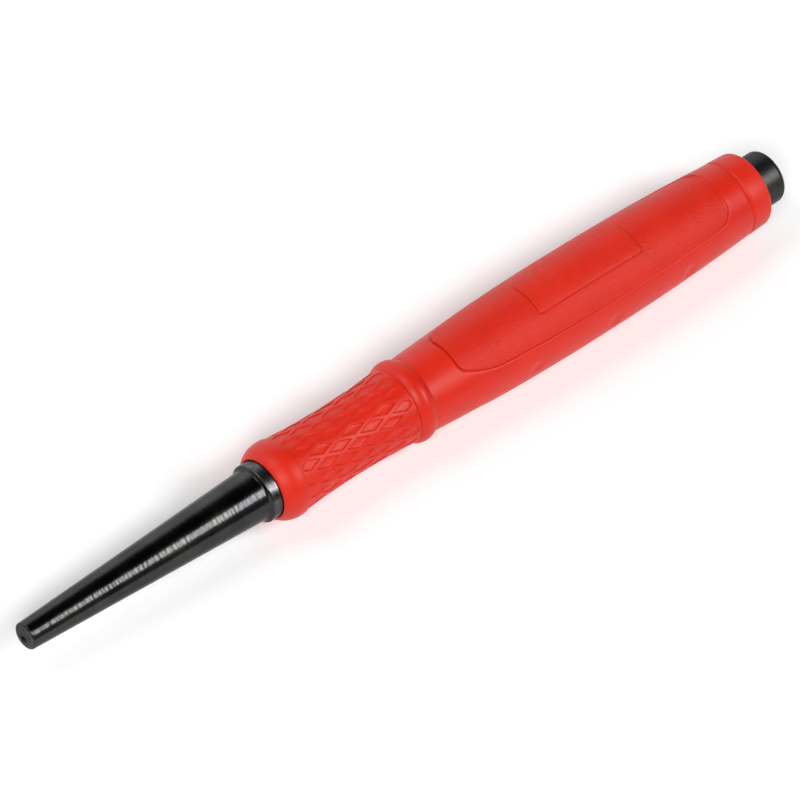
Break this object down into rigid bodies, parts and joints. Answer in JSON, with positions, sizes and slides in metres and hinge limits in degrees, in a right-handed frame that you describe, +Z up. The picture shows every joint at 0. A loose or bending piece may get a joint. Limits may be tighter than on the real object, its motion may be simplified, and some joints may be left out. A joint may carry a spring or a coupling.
{
  "type": "nail setter",
  "caption": "Tapered steel punch with a cupped tip and a striking head, in a red moulded grip with a diamond-patterned waist, a raised ring and inlaid panels; for sinking nails below a surface.",
  "frame": {"origin": "under the middle of the tool's length, on the surface that it lies on", "axes": "+X along the tool from its tip to its striking head, +Z up through the panel with the bare recess"},
  "size_m": [0.127, 0.0126, 0.0125],
  "materials": {
    "black_steel": "hardened steel, black oxide, satin",
    "red_grip": "moulded, smooth satin",
    "red_band": "moulded, diamond pattern",
    "red_panel": "moulded, fine matt grain"
  },
  "bodies": {
    "root": {"punch": "black_steel", "grip_body": "red_grip", "waist_band": "red_band", "upper_panel": "red_panel", "lower_panel": "red_panel"}
  },
  "joints": []
}
